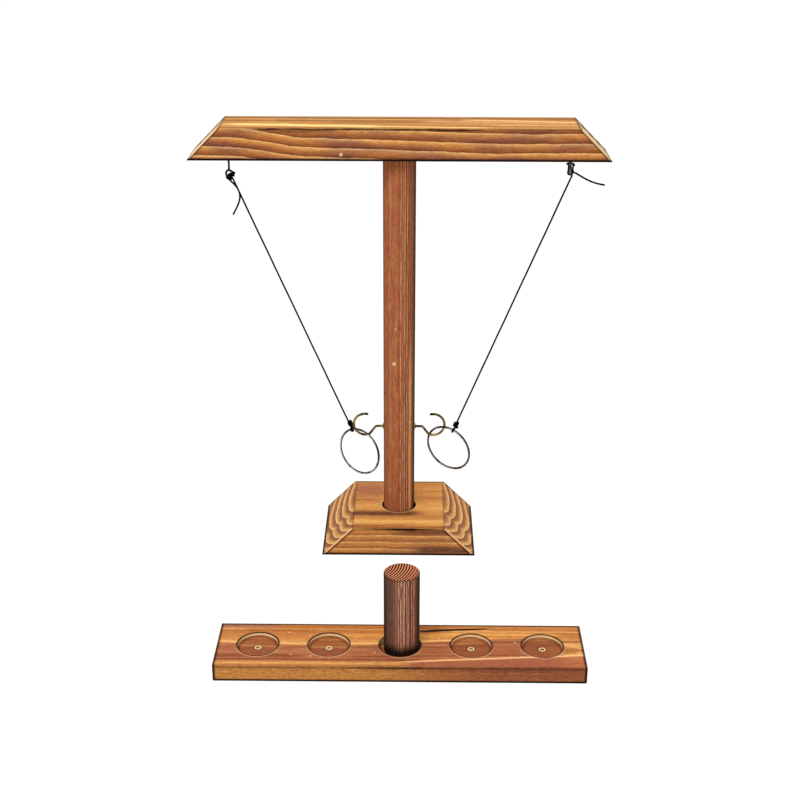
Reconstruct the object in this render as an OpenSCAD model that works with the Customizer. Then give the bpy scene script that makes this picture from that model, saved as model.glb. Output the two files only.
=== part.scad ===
// Hook and ring toss game: a wooden tower carries two strings, each with a ring that is
// swung at a cup hook on the post, and a score board with a peg stands beside it.
// Millimetres. +Z is up and -Y is the side with the score board. The origin is the centre
// of the underside of the base.

/* [Base] */
// Length of the base at its underside
base_length = 124; // [104:1:180]
// Depth of the base
base_depth = 86; // [60:1:110]
// Thickness of the base
base_thick = 24; // [20:1:30]
// Lean of the sawn ends of base and crossbar from upright, in degrees
bevel_angle = 45; // [0:1:50]

/* [Crossbar] */
// Length of the crossbar at its underside
bar_length = 312; // [300:1:380]
// Depth of the crossbar
bar_depth = 44; // [34:1:70]
// Thickness of the crossbar
bar_thick = 24; // [20:1:36]

/* [Post] */
// Diameter of the post
post_dia = 25; // [21:0.5:30]
// Length of the post that shows between base and crossbar
post_rise = 293; // [285:1:340]
// Depth of the socket in the base
base_socket_depth = 12; // [9:1:14]
// Depth of the socket in the crossbar
bar_socket_depth = 10; // [6:1:12]
// Gap all round between the post and its socket in the base
base_socket_gap = 1.1; // [0.3:0.1:1.4]
// Gap all round between the post and its socket in the crossbar
bar_socket_gap = 0.5; // [0.2:0.1:1]

/* [Dowel screws] */
// Diameter over the thread
dowel_screw_dia = 5; // [4.4:0.1:7]
// Diameter of the core, and of the pilot hole that it fills
dowel_screw_core = 3.6; // [2.5:0.1:4.2]
// Length of each double-ended screw
dowel_screw_length = 26; // [20:1:34]
// Length of each screw in the base or the crossbar
dowel_screw_bite = 8; // [5:1:8]
// Pitch of its thread
dowel_screw_pitch = 2; // [1.5:0.1:2.5]

/* [Screw eyes] */
// Distance of each screw eye from the end of the crossbar's underside
eye_inset = 28.2; // [26:0.1:36]
// Thickness of the wire
eye_wire = 1.6; // [1.4:0.1:1.8]
// Radius of the loop at the middle of the wire
eye_loop_radius = 2.5; // [2.4:0.1:3]
// Drop of the left loop's centre below the crossbar
eye_drop_left = 14.5; // [12:0.1:16]
// Drop of the right loop's centre below the crossbar
eye_drop_right = 10.8; // [9:0.1:13]
// Turn of the left loop about its shank, in degrees
eye_turn_left = 25; // [-40:1:60]
// Turn of the right loop about its shank, in degrees
eye_turn_right = 78; // [40:1:100]
// Length of the thread in the crossbar
eye_thread_length = 11; // [6:1:14]
// Diameter over the thread
eye_thread_dia = 2.4; // [2:0.1:3]
// Pitch of the thread
eye_thread_pitch = 1.1; // [0.9:0.1:1.4]

/* [Cup hooks] */
// Height of the hooks' shanks above the floor
hook_height = 95.3; // [80:0.1:120]
// Thickness of the wire
hook_wire = 2; // [1.6:0.1:2.2]
// Straight run from the post to the first bend
hook_neck = 5.2; // [4:0.1:8]
// Angle of the dip below the neck, in degrees
hook_dip_angle = 53; // [40:1:60]
// Straight run down the dip
hook_dip = 6.9; // [4:0.1:9]
// Turn from the dip into the curl, in degrees
hook_rise_angle = 38; // [25:1:50]
// Radius of the curl at the middle of the wire
hook_curl_radius = 9.2; // [8:0.1:11]
// Sweep of the curl from the dip to the tip, in degrees
hook_curl_angle = 206; // [160:1:230]
// Diameter of the flange against the post
hook_flange_dia = 6; // [4:0.1:9]
// Thickness of the flange
hook_flange_thick = 0.8; // [0.5:0.1:1.5]
// Length of the thread in the post
hook_thread_length = 8; // [5:1:9]
// Diameter of the core, and of the pilot hole that it fills
hook_core_dia = 2.2; // [1.8:0.1:2.6]
// Diameter over the thread
hook_thread_dia = 3; // [2.8:0.1:3.6]
// Pitch of the thread
hook_thread_pitch = 1.2; // [0.9:0.1:1.5]

/* [Rings] */
// Diameter of each ring at the middle of its wire
ring_dia = 38.4; // [34:0.1:46]
// Thickness of the wire
ring_wire = 1.8; // [1.4:0.1:2.2]
// Angle round the curl at which the left hook passes through its ring
hook_point_left = -73.4; // [-80:0.1:-65]
// Angle round the curl at which the right hook passes through its ring
hook_point_right = -77.4; // [-82:0.1:-72]
// Spare room between the left ring's wire and the hook that passes through it
ring_slack_left = 1; // [0.9:0.1:1.2]
// Spare room between the right ring's wire and the hook that passes through it
ring_slack_right = 2.4; // [2.2:0.1:2.6]

/* [String] */
// Thickness of the string
cord_dia = 1.4; // [1:0.1:1.4]
// Gap between the string's turns and what they go round
turn_gap = 0.1; // [0.05:0.05:0.2]
// Gap between the loop in a ring and the knot above it, where the ring swings
swing_gap = 0.3; // [0.2:0.05:0.5]
// Radius of a ring knot's turns at the middle of the string
knot_turn_radius = 1.2; // [1:0.1:1.5]
// Number of turns in a ring knot
knot_turns = 3; // [2:1:3]

/* [Score board] */
// Length of the board
board_length = 258; // [240:1:320]
// Depth of the board
board_depth = 53; // [40:1:80]
// Thickness of the board
board_thick = 13; // [10:1:24]
// Distance of the board's middle line in front of the post
board_distance = 192; // [150:1:260]
// Shift of the board's middle to the right of the post
board_shift = 3; // [-20:1:20]
// Number of round recesses
recess_count = 5; // [3:2:5]
// Distance from one recess to the next
recess_pitch = 50; // [40:1:54]
// Diameter of a recess
recess_dia = 28.5; // [27:0.1:34]
// Depth of a recess
recess_depth = 3; // [2.5:0.5:6]
// Diameter of the drill's centre mark on a recess floor
drill_mark_dia = 3; // [1:0.1:5]

/* [Score peg] */
// Diameter of the peg
peg_dia = 25; // [20:0.1:25.5]
// Length of the peg
peg_length = 62; // [40:1:90]
// Gap between the peg and the right side of its recess
peg_side_gap = 0.6; // [0.3:0.1:0.7]

/* [Hidden] */
$fn = 32;
// Facets round the drawn wire and string, whose true surfaces are round
fine = 16;

LEFT = -1;
RIGHT = 1;

// How far the sawn ends lean in over the thickness
base_bevel = base_thick * tan(bevel_angle);
bar_bevel = bar_thick * tan(bevel_angle);
bar_underside = base_thick + post_rise;
post_foot = base_thick - base_socket_depth;
post_head = bar_underside + bar_socket_depth;
base_socket_dia = post_dia + 2 * base_socket_gap;
bar_socket_dia = post_dia + 2 * bar_socket_gap;
post_chamfer = 0.6;
eye_spread = bar_length / 2 - eye_inset;
// How far a drilled hole's cutter runs out past the face that it starts from
cutter_out = 1;

// Round stock is turned to a point over this length
screw_point = 2.5;
fine_point = 1.8;

// The bends of a hook's wire, each as [radius, degrees], and its straight runs as [0, length]
neck_bend_radius = 2;
rise_bend_radius = 3;
wire_sides = 14;
// Degrees of a bend from one ring of its corners to the next
bend_cut = 9;
hook_way_in = [[0, hook_neck], [neck_bend_radius, -hook_dip_angle], [0, hook_dip],
               [rise_bend_radius, hook_rise_angle]];
hook_way = concat(hook_way_in, [[hook_curl_radius, hook_curl_angle]]);
post_radius = post_dia / 2;
// The flat back of the flange meets the round post this far in
flange_sink = post_radius - sqrt(post_radius * post_radius - hook_flange_dia * hook_flange_dia / 4);
// The curl of the right hook: its centre in X and Z
curl_end = way_end(hook_way_in);
curl_centre = [post_radius + curl_end[0] - hook_curl_radius * sin(curl_end[2]),
               hook_height + curl_end[1] + hook_curl_radius * cos(curl_end[2])];

// The way that each ring faces: bearing and lift of its axis, and where its knot sits round it
ring_bearing_left = -124;
ring_bearing_right = -121.5;
ring_lift_left = 0;
ring_lift_right = -8.6;
hook_side_left = 9.5;
hook_side_right = -50.4;
knot_angle_left = -22.5;
knot_angle_right = 17.6;
ring_radius = ring_dia / 2;
ring_centre_left = ring_centre(LEFT);
ring_centre_right = ring_centre(RIGHT);
knot_point_left = ring_point(LEFT, knot_angle_left);
knot_point_right = ring_point(RIGHT, knot_angle_right);

// The string: the points of each stretch, from the screw eye down
cord_points_left = [
    [-125.6, 0, 299.2], [-120.1, 0.4, 286], [-114.3, 0.7, 272], [-108.5, 1.1, 258],
    [-102.6, 1.5, 244], [-96.8, 1.8, 230], [-91, 2.2, 216], [-85.1, 2.6, 202],
    [-79.3, 3, 188], [-73.5, 3.3, 174], [-67.7, 3.7, 160], [-61.8, 4.1, 146],
    [-56, 4.4, 132], [-50.2, 4.8, 118], [-45.2, 5.1, 106], [-40.9, 5.4, 95.7]];
cord_points_right = [
    [129.3, -0.2, 302.3], [123.3, -0.9, 288], [117.5, -1.6, 274], [111.7, -2.3, 260],
    [105.8, -2.9, 246], [100, -3.6, 232], [94.1, -4.3, 218], [88.3, -5, 204],
    [82.5, -5.7, 190], [76.6, -6.3, 176], [70.8, -7, 162], [64.9, -7.7, 148],
    [59.1, -8.4, 134], [54.1, -9, 122], [49.9, -9.4, 112], [46, -9.9, 102.6]];
tail_points_left = [
    [-128.9, -0.6, 298.8], [-126.4, -1.5, 296.6], [-123.1, -1.7, 293.2],
    [-121.2, -1.6, 289.8], [-120.4, -1.4, 286.4], [-120.8, -1, 282.4],
    [-122.6, -0.5, 277.6], [-126.3, 0, 270.6]];
tail_points_right = [
    [130, -1, 304.8], [132.2, -2.4, 303.9], [134.8, -4.9, 302.8], [138, -8.3, 301.6],
    [141.5, -12.5, 300.7], [145.5, -17.4, 300.3], [150.6, -22.9, 300.5]];
cord_sides = 8;
cord_radius = cord_dia / 2;
eye_turn_radius = (eye_wire + cord_dia) / 2 + turn_gap;
ring_turn_radius = (ring_wire + cord_dia) / 2 + turn_gap;
// A ring knot's turns are this much fuller than the string, with this much between them
knot_swell = 0.1;
knot_turn_space = 0.05;
knot_tube_radius = cord_radius + knot_swell;
knot_turn_step = 2 * knot_tube_radius + knot_turn_space;
binding_radius = 2.35;
// How far the binding sits up into the turns that it holds
binding_rise = 0.3;
binding_tilt = -20;
// How much narrower than the eye the right string's turns are drawn
right_turn_draw = 0.2;
ball_radius = 1.5;

recess_floor = board_thick - recess_depth;
drill_mark_depth = drill_mark_dia / 3;
peg_chamfer = 0.5;
peg_shift = (recess_dia - peg_dia) / 2 - peg_side_gap;

function side_sign(v) = v < 0 ? -1 : 1;
function unit(v) = v / norm(v);

// Where a run of wire ends: X, Y and heading
function way_end(way, at = 0, place = [0, 0, 0]) =
    at == len(way) ? place : way_end(way, at + 1, way_step(place, way[at]));
function way_step(place, step) = step[0] == 0
    ? [place[0] + step[1] * cos(place[2]), place[1] + step[1] * sin(place[2]), place[2]]
    : let(side = side_sign(step[1]), turned = place[2] + step[1])
      [place[0] + side * step[0] * (sin(turned) - sin(place[2])),
       place[1] - side * step[0] * (cos(turned) - cos(place[2])), turned];

// The points of a run of wire, closer together round its bends
function way_line(way, at = 0, place = [0, 0, 0]) =
    at == len(way)
    ? [[place[0], 0, place[1]]]
    : let(cuts = way[at][0] == 0 ? 1 : ceil(abs(way[at][1]) / bend_cut))
      concat([for (k = [0:cuts - 1])
                  let(p = way_step(place, [way[at][0], way[at][1] * k / cuts])) [p[0], 0, p[1]]],
             way_line(way, at + 1, way_step(place, way[at])));

// The outline of a thread: radius and distance from its point
function thread_profile(core, over, length, pitch, point) =
    let(ridges = floor((length - point) / pitch),
        first = point + (length - point - ridges * pitch) / 2)
    concat([[core / 8, 0.02], [core / 2, point]],
           [for (i = [0:ridges - 1])
                for (corner = [[core / 2, 0.15], [over / 2, 0.5], [core / 2, 0.85]])
                    [corner[0], first + (i + corner[1]) * pitch]],
           [[core / 2, length]]);

// Each ring hangs so that its hook passes through it near the lowest part of the curl
function bearing(side) = side == LEFT ? ring_bearing_left : ring_bearing_right;
function lift(side) = side == LEFT ? ring_lift_left : ring_lift_right;
function along_ring(side, angle) =
    let(b = bearing(side), l = lift(side))
    sin(angle) * [-sin(b), cos(b), 0] + cos(angle) * [-cos(b) * sin(l), -sin(b) * sin(l), cos(l)];
function hook_point(side) =
    let(angle = side == LEFT ? hook_point_left : hook_point_right)
    [side * (curl_centre[0] + hook_curl_radius * cos(angle)), 0,
     curl_centre[1] + hook_curl_radius * sin(angle)];
function ring_centre(side) =
    let(slack = side == LEFT ? ring_slack_left : ring_slack_right,
        reach = ring_radius - (ring_wire + hook_wire) / 2 - slack)
    hook_point(side) - reach * along_ring(side, side == LEFT ? hook_side_left : hook_side_right);
function ring_point(side, angle) =
    (side == LEFT ? ring_centre_left : ring_centre_right)
    + ring_radius * along_ring(side, angle);
function ring_tangent(side, angle) = along_ring(side, angle + 90);

// A smooth line through the points of a stretch of string
function smooth_place(p, i, t) =
    let(a = p[max(i - 1, 0)], b = p[i], c = p[i + 1], d = p[min(i + 2, len(p) - 1)])
    b + 0.5 * t * (c - a + t * (2 * a - 5 * b + 4 * c - d + t * (3 * (b - c) + d - a)));
function smooth_line(p, cuts) =
    concat([for (i = [0:len(p) - 2]) for (k = [0:cuts - 1]) smooth_place(p, i, k / cuts)],
           [p[len(p) - 1]]);
function heading(p, i) = unit(p[min(i + 1, len(p) - 1)] - p[max(i - 1, 0)]);

// A torus of string or wire round a point, square to an axis
module turn_of(place, axis, radius, tube) {
    translate(place)
        rotate([0, acos(axis[2] / norm(axis)), atan2(axis[1], axis[0])])
            rotate_extrude()
                translate([radius, 0]) circle(r = tube, $fn = fine);
}

// A tube of wire or string swept along a line that stays near the XZ plane, with a radius
// for each of its points
module tube(line, radii, sides) {
    last = len(line) - 1;
    corners = [for (i = [0:last])
        let(ahead = heading(line, i), across = unit(cross(ahead, [0, 1, 0])),
            up = cross(across, ahead))
        for (k = [0:sides - 1])
            let(a = 360 * k / sides) line[i] + radii[i] * (cos(a) * across + sin(a) * up)];
    walls = [for (i = [0:last - 1]) for (k = [0:sides - 1])
        let(a = i * sides + k, b = i * sides + (k + 1) % sides)
        for (tri = [[a, a + sides, b + sides], [a, b + sides, b]]) tri];
    near_end = [for (k = [0:sides - 1]) k];
    far_end = [for (k = [sides - 1:-1:0]) last * sides + k];
    polyhedron(points = corners, faces = concat(walls, [near_end, far_end]));
}
module string_run(points, cuts) {
    line = smooth_line(points, cuts);
    color("#1c1a19") tube(line, [for (p = line) cord_radius], cord_sides);
}

// Round stock with a thread, along +Z from its point
module thread(core, over, length, pitch, point) {
    rotate_extrude()
        polygon(concat([[0, 0]], thread_profile(core, over, length, pitch, point), [[0, length]]));
}

// A plank with sawn ends that lean in towards its top face
module bevelled_plank(length, depth, thick, bevel) {
    half = length / 2;
    translate([0, depth / 2, 0])
        rotate([90, 0, 0])
            linear_extrude(depth)
                polygon([[-half, 0], [half, 0], [half - bevel, thick], [bevel - half, thick]]);
}

// A turned rod with a small chamfer at each end
module rod(diameter, length, chamfer) {
    r = diameter / 2;
    rotate_extrude()
        polygon([[0, 0], [r - chamfer, 0], [r, chamfer], [r, length - chamfer],
                 [r - chamfer, length], [0, length]]);
}

module base() {
    color("#b5773c") difference() {
        bevelled_plank(base_length, base_depth, base_thick, base_bevel);
        translate([0, 0, post_foot]) cylinder(h = base_thick, d = base_socket_dia);
        translate([0, 0, post_foot - dowel_screw_bite]) cylinder(h = base_thick, d = dowel_screw_core);
    }
}

module crossbar() {
    color("#b06c38") difference() {
        translate([0, 0, bar_underside])
            bevelled_plank(bar_length, bar_depth, bar_thick, bar_bevel);
        translate([0, 0, post_head - bar_thick]) cylinder(h = bar_thick, d = bar_socket_dia);
        cylinder(h = post_head + dowel_screw_bite, d = dowel_screw_core);
        for (side = [LEFT, RIGHT])
            translate([side * eye_spread, 0, 0])
                cylinder(h = bar_underside + eye_thread_length, d = eye_wire);
    }
}

module post() {
    pilot = dowel_screw_length - dowel_screw_bite;
    color("#9c5a36") difference() {
        translate([0, 0, post_foot]) rod(post_dia, post_head - post_foot, post_chamfer);
        translate([0, 0, post_foot - cutter_out])
            cylinder(h = pilot + cutter_out, d = dowel_screw_core);
        translate([0, 0, post_head - pilot])
            cylinder(h = pilot + cutter_out, d = dowel_screw_core);
        translate([0, 0, hook_height])
            for (side = [LEFT, RIGHT])
                rotate([0, side * 90, 0])
                    translate([0, 0, post_radius - hook_thread_length])
                        cylinder(h = post_radius, d = hook_core_dia);
    }
}

// A double-ended screw with its middle at the origin
module dowel_screw() {
    for (end = [0, 180])
        rotate([end, 0, 0])
            translate([0, 0, -dowel_screw_length / 2])
                thread(dowel_screw_core, dowel_screw_dia, dowel_screw_length / 2,
                       dowel_screw_pitch, screw_point);
}

module dowel_screws() {
    middle = dowel_screw_length / 2 - dowel_screw_bite;
    color("silver") {
        translate([0, 0, post_foot + middle]) dowel_screw();
        translate([0, 0, post_head - middle]) dowel_screw();
    }
}

module screw_eye(side, drop, turn) {
    loop_gap = 24;
    shank = drop - eye_loop_radius;
    color("#8d9095") translate([side * eye_spread, 0, bar_underside]) {
        translate([0, 0, eye_thread_length])
            mirror([0, 0, 1])
                thread(eye_wire, eye_thread_dia, eye_thread_length, eye_thread_pitch, fine_point);
        translate([0, 0, -shank]) cylinder(h = shank, d = eye_wire);
        translate([0, 0, -drop])
            rotate([0, 0, turn])
                rotate([90, 0, 0])
                    rotate([0, 0, 84])
                        rotate_extrude(angle = 360 - loop_gap)
                            translate([eye_loop_radius, 0]) circle(d = eye_wire, $fn = fine);
    }
}
module screw_eye_left() { screw_eye(LEFT, eye_drop_left, eye_turn_left); }
module screw_eye_right() { screw_eye(RIGHT, eye_drop_right, eye_turn_right); }

// A hook is one run of wire: its thread and flange lie on the way's straight start
module cup_hook(side) {
    step = 0.05;
    wire_radius = hook_wire / 2;
    screw = thread_profile(hook_core_dia, hook_thread_dia, hook_thread_length - flange_sink,
                           hook_thread_pitch, fine_point);
    start = concat(
        [for (p = screw) [p[1] - hook_thread_length, p[0]]],
        [[step - flange_sink, hook_flange_dia / 2], [hook_flange_thick, hook_flange_dia * 0.35],
         [hook_flange_thick + step, wire_radius]]);
    bends = way_line(hook_way);
    tip = way_step(way_end(hook_way), [0, wire_radius / 2]);
    line = concat([for (p = start) [p[0], 0, 0]], [for (i = [1:len(bends) - 1]) bends[i]],
                  [[tip[0], 0, tip[1]]]);
    radii = concat([for (p = start) p[1]], [for (i = [1:len(bends) - 1]) wire_radius],
                   [wire_radius * 0.6]);
    color("#c2a24a") mirror([side == LEFT ? 1 : 0, 0, 0])
        translate([post_radius, 0, hook_height]) tube(line, radii, wire_sides);
}
module cup_hook_left() { cup_hook(LEFT); }
module cup_hook_right() { cup_hook(RIGHT); }

module ring(side, centre) {
    b = bearing(side);
    l = lift(side);
    color("#a9a59c")
        turn_of(centre, [cos(l) * cos(b), cos(l) * sin(b), sin(l)], ring_radius, ring_wire / 2);
}
module ring_left() { ring(LEFT, ring_centre_left); }
module ring_right() { ring(RIGHT, ring_centre_right); }

// The loop of string that goes through a ring
module ring_loop(side, angle) {
    color("#1c1a19")
        turn_of(ring_point(side, angle), ring_tangent(side, angle), ring_turn_radius, cord_radius);
}
module ring_loop_left() { ring_loop(LEFT, knot_angle_left); }
module ring_loop_right() { ring_loop(RIGHT, knot_angle_right); }

// The knot above it: turns round the string, in line with it
module ring_knot(start, cord_points) {
    ahead = unit(cord_points[0] - start);
    first = ring_turn_radius + cord_radius + swing_gap + knot_tube_radius;
    core_length = (knot_turns - 1) * knot_turn_step + knot_tube_radius;
    color("#1c1a19") {
        for (i = [0:knot_turns - 1])
            turn_of(start + (first + i * knot_turn_step) * ahead, ahead, knot_turn_radius,
                    knot_tube_radius);
        translate(start + first * ahead)
            rotate([0, acos(ahead[2]), atan2(ahead[1], ahead[0])])
                cylinder(h = core_length, r = knot_turn_radius);
    }
}
module ring_knot_left() { ring_knot(knot_point_left, cord_points_left); }
module ring_knot_right() { ring_knot(knot_point_right, cord_points_right); }

module cord_left() { string_run(cord_points_left, 2); }
module cord_right() { string_run(cord_points_right, 2); }
module cord_tail_left() { string_run(tail_points_left, 1); }
module cord_tail_right() { string_run(tail_points_right, 1); }

// The left string is wound twice round the bottom of the eye and bound across
module eye_knot_left() {
    spread = 15;
    centre = [-eye_spread, 0, bar_underside - eye_drop_left];
    across = [cos(eye_turn_left), sin(eye_turn_left), 0];
    color("#1c1a19") {
        for (angle = [-spread, spread])
            turn_of(centre + eye_loop_radius * (sin(angle) * across - [0, 0, cos(angle)]),
                    cos(angle) * across + [0, 0, sin(angle)], eye_turn_radius, cord_radius);
        turn_of(centre - [0, 0, eye_loop_radius + (eye_wire + cord_dia) / 2 - binding_rise],
                [sin(binding_tilt), 0, cos(binding_tilt)], binding_radius, cord_radius);
    }
}

// The right string goes through the eye in two wide turns and is bound at their lower side
module eye_knot_right() {
    radius = eye_loop_radius - right_turn_draw;
    low = bar_underside - eye_drop_right - eye_loop_radius - eye_turn_radius;
    along = [cos(eye_turn_right), sin(eye_turn_right), 0];
    color("#1c1a19") translate([eye_spread, 0, low + radius]) {
        for (side = [LEFT, RIGHT])
            turn_of(side * (cord_dia + turn_gap) / 2 * along, along, radius, cord_radius);
        translate([radius * cos(35), 0, -radius * sin(35)]) sphere(r = ball_radius, $fn = fine);
    }
}

module score_board() {
    middle = (recess_count - 1) / 2;
    color("#b9803f") translate([board_shift, -board_distance, 0]) difference() {
        translate([-board_length / 2, -board_depth / 2, 0])
            cube([board_length, board_depth, board_thick]);
        for (i = [0:recess_count - 1])
            translate([(i - middle) * recess_pitch, 0, recess_floor]) {
                cylinder(h = board_thick, d = recess_dia);
                translate([0, 0, -drill_mark_depth])
                    cylinder(h = drill_mark_depth, d1 = 0, d2 = drill_mark_dia);
            }
    }
}

// The peg stands in the middle recess, near its right side
module score_peg() {
    color("#8a5138") translate([board_shift + peg_shift, -board_distance, recess_floor])
        rod(peg_dia, peg_length, peg_chamfer);
}

base();
post();
crossbar();
dowel_screws();
screw_eye_left();
screw_eye_right();
cup_hook_left();
cup_hook_right();
ring_left();
ring_right();
ring_loop_left();
ring_loop_right();
ring_knot_left();
ring_knot_right();
cord_left();
cord_right();
cord_tail_left();
cord_tail_right();
eye_knot_left();
eye_knot_right();
score_board();
score_peg();
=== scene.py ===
"""Looks of the hook and ring toss game: stained wood, plated wire and black string."""

import math

import bmesh
import bpy
from mathutils import Matrix, Vector


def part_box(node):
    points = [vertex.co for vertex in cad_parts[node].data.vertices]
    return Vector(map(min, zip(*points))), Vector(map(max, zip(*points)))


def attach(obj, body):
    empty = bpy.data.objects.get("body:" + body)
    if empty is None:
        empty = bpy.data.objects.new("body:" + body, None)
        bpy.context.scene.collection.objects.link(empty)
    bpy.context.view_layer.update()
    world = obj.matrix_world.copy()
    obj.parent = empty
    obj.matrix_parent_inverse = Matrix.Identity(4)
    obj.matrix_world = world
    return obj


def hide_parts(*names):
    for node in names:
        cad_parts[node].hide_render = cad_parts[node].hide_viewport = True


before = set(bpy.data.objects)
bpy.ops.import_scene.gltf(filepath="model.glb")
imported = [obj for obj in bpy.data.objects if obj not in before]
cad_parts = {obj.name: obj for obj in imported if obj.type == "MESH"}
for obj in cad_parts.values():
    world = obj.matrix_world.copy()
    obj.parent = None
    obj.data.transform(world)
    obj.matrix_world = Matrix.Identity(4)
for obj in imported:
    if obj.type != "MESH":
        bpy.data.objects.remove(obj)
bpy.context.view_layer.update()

# Millimetres are used for sizes, and the meshes are made in metres
MM = 0.001
# The rims of round holes are made of edges up to this long
LONGEST_RIM_EDGE = 4
# An edge that turns by more degrees than this stays sharp
SHARP_ANGLE = 35
# Which way along X each side lies
SIDES = {"left": -1, "right": 1}


def box_mm(node):
    """Lowest and highest corner of a CAD node in millimetres."""
    low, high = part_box(node)
    return low / MM, high / MM


# Sizes of the wooden pieces, taken from the frame
BASE_LOW, BASE_HIGH = box_mm("base")
BAR_LOW, BAR_HIGH = box_mm("crossbar")
POST_LOW, POST_HIGH = box_mm("post")
BOARD_LOW, BOARD_HIGH = box_mm("score_board")
PEG_LOW, PEG_HIGH = box_mm("score_peg")
BASE_THICK = BASE_HIGH.z - BASE_LOW.z
BAR_THICK = BAR_HIGH.z - BAR_LOW.z
BAR_UNDERSIDE = BAR_LOW.z
POST_RADIUS = (POST_HIGH.x - POST_LOW.x) / 2
PEG_RADIUS = (PEG_HIGH.x - PEG_LOW.x) / 2
PEG_PLACE = (PEG_LOW + PEG_HIGH) / 2
BOARD_PLACE = (BOARD_LOW + BOARD_HIGH) / 2
# Round holes: the board's recesses and the base's socket
RECESS_PITCH = 50
RECESS_RADIUS = 14.25
SOCKET_RADIUS = 13.6
# Places on the board's top, from its centre, where the stain has chipped off
BOARD_CHIPS = [(-79, 15), (-64, 11.2), (-76, -12.5), (-62, -14.4), (-17.6, -9.5), (28, 8), (81, 4)]

# Screw eyes: the shank bends out to its loop, and the loop sweeps round, both in degrees
EYE_SPREAD = 127.8
EYE_WIRE = 1.6
EYE_LOOP = 2.5
EYE_LEAN = 62
EYE_BEND = 1.4
EYE_SWEEP = 296
EYE_DROP = {"left": 14.5, "right": 10.8}
EYE_TURN = {"left": 25, "right": 78}
# The left eye's zinc is painted darker, as shade, than the lit right one
ZINC_SHADED_AND_LIT = {"left": "45474b", "right": "aeb2b8"}
EYE_THREAD = 11

# Cup hooks: the wire's run as straights (0, length) and bends (radius, degrees)
HOOK_HEIGHT = 95.3
HOOK_WIRE = 2
HOOK_WAY = [(0, 5.2), (2, -53), (0, 6.9), (3, 38), (9.2, 206)]
# Degrees from one cut of a bend to the next
BEND_CUT = 5
HOOK_FLANGE = 6
HOOK_THREAD = 8
# From a screw's end to the start of its thread
THREAD_TIP = 0.6

# Rings: the way that each one faces, and where its knot sits round it
RING_WIRE = 1.8
RING_RADIUS = 19.2
RING_CUTS = 160
RING_BEARING = {"left": -124, "right": -121.5}
RING_LIFT = {"left": 0, "right": -8.6}
KNOT_ANGLE = {"left": -22.5, "right": 17.6}

# String: a strand goes once round it in its lay. The points run from the screw eye down
STRING = 1.4
LAY = 4.5
TURN_GAP = 0.1
SWING_GAP = 0.3
KNOT_SWELL = 0.1
# The left eye's knot: where on its loop it starts, how far it goes, in degrees, and its turns
KNOT_FROM = -25
KNOT_SWEEP = 120
KNOT_TURNS = 4.2
# The strands stand out as much as the grooves between them lie in
STRAND_SWELL = 1.04
CORD_POINTS = {
    "left": [
        (-125.6, 0, 299.2), (-120.1, 0.4, 286), (-114.3, 0.7, 272), (-108.5, 1.1, 258),
        (-102.6, 1.5, 244), (-96.8, 1.8, 230), (-91, 2.2, 216), (-85.1, 2.6, 202),
        (-79.3, 3, 188), (-73.5, 3.3, 174), (-67.7, 3.7, 160), (-61.8, 4.1, 146),
        (-56, 4.4, 132), (-50.2, 4.8, 118), (-45.2, 5.1, 106), (-40.9, 5.4, 95.7),
    ],
    "right": [
        (129.3, -0.2, 302.3), (123.3, -0.9, 288), (117.5, -1.6, 274), (111.7, -2.3, 260),
        (105.8, -2.9, 246), (100, -3.6, 232), (94.1, -4.3, 218), (88.3, -5, 204),
        (82.5, -5.7, 190), (76.6, -6.3, 176), (70.8, -7, 162), (64.9, -7.7, 148),
        (59.1, -8.4, 134), (54.1, -9, 122), (49.9, -9.4, 112), (46, -9.9, 102.6),
    ],
}
TAIL_POINTS = {
    "left": [
        (-128.9, -0.6, 298.8), (-126.4, -1.5, 296.6), (-123.1, -1.7, 293.2),
        (-121.2, -1.6, 289.8), (-120.4, -1.4, 286.4), (-120.8, -1, 282.4),
        (-122.6, -0.5, 277.6), (-126.3, 0, 270.6),
    ],
    "right": [
        (130, -1, 304.8), (132.2, -2.4, 303.9), (134.8, -4.9, 302.8), (138, -8.3, 301.6),
        (141.5, -12.5, 300.7), (145.5, -17.4, 300.3), (150.6, -22.9, 300.5),
    ],
}

# Camera, fitted to the photograph: place in metres, lens in millimetres, turns in degrees
CAMERA_PLACE = (0.0112, -1.0020, 0.5470)
CAMERA_LENS = 61.09
SENSOR_WIDTH = 36
LOOKS_DOWN = 23.167
TURNS_LEFT = 0.602
ROLLS = 0.105

# Light and table, in metres: the light all round, the table's own glow, and what is aimed at
LIGHT_ALL_ROUND = 0.42
TABLE_HALF = 6.0
TABLE_DROP = 0.0002
TABLE_GREY = 0.8
TABLE_GLOW = 1.1
TABLE_GLOW_SHARE = 0.88
LAMP_AIM = (0, -0.05, 0.15)
CARD_AIM = (0, 0, 0.2)


def add_object(name, data):
    made = bpy.data.objects.new(name, data)
    bpy.context.scene.collection.objects.link(made)
    return made


def make_camera():
    data = bpy.data.cameras.new("camera")
    data.sensor_width = SENSOR_WIDTH
    data.lens = CAMERA_LENS
    data.clip_start = 0.01
    camera = add_object("camera", data)
    turn = Matrix.Rotation(math.radians(TURNS_LEFT), 4, "Z")
    turn = turn @ Matrix.Rotation(math.radians(90 - LOOKS_DOWN), 4, "X")
    turn = turn @ Matrix.Rotation(math.radians(ROLLS), 4, "Z")
    camera.matrix_world = Matrix.Translation(CAMERA_PLACE) @ turn
    bpy.context.scene.camera = camera


# Materials

def linear(hex_colour):
    """A colour written as six hex digits, as linear red, green, blue and alpha."""
    parts = [int(hex_colour[i:i + 2], 16) / 255 for i in (0, 2, 4)]
    return tuple(((c + 0.055) / 1.055) ** 2.4 if c > 0.04 else c / 12.92 for c in parts) + (1.0,)


def set_stops(ramp, stops):
    while len(ramp.elements) < len(stops):
        ramp.elements.new(0.5)
    for element, (place, colour) in zip(ramp.elements, stops):
        element.position = place
        element.color = linear(colour)


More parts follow.
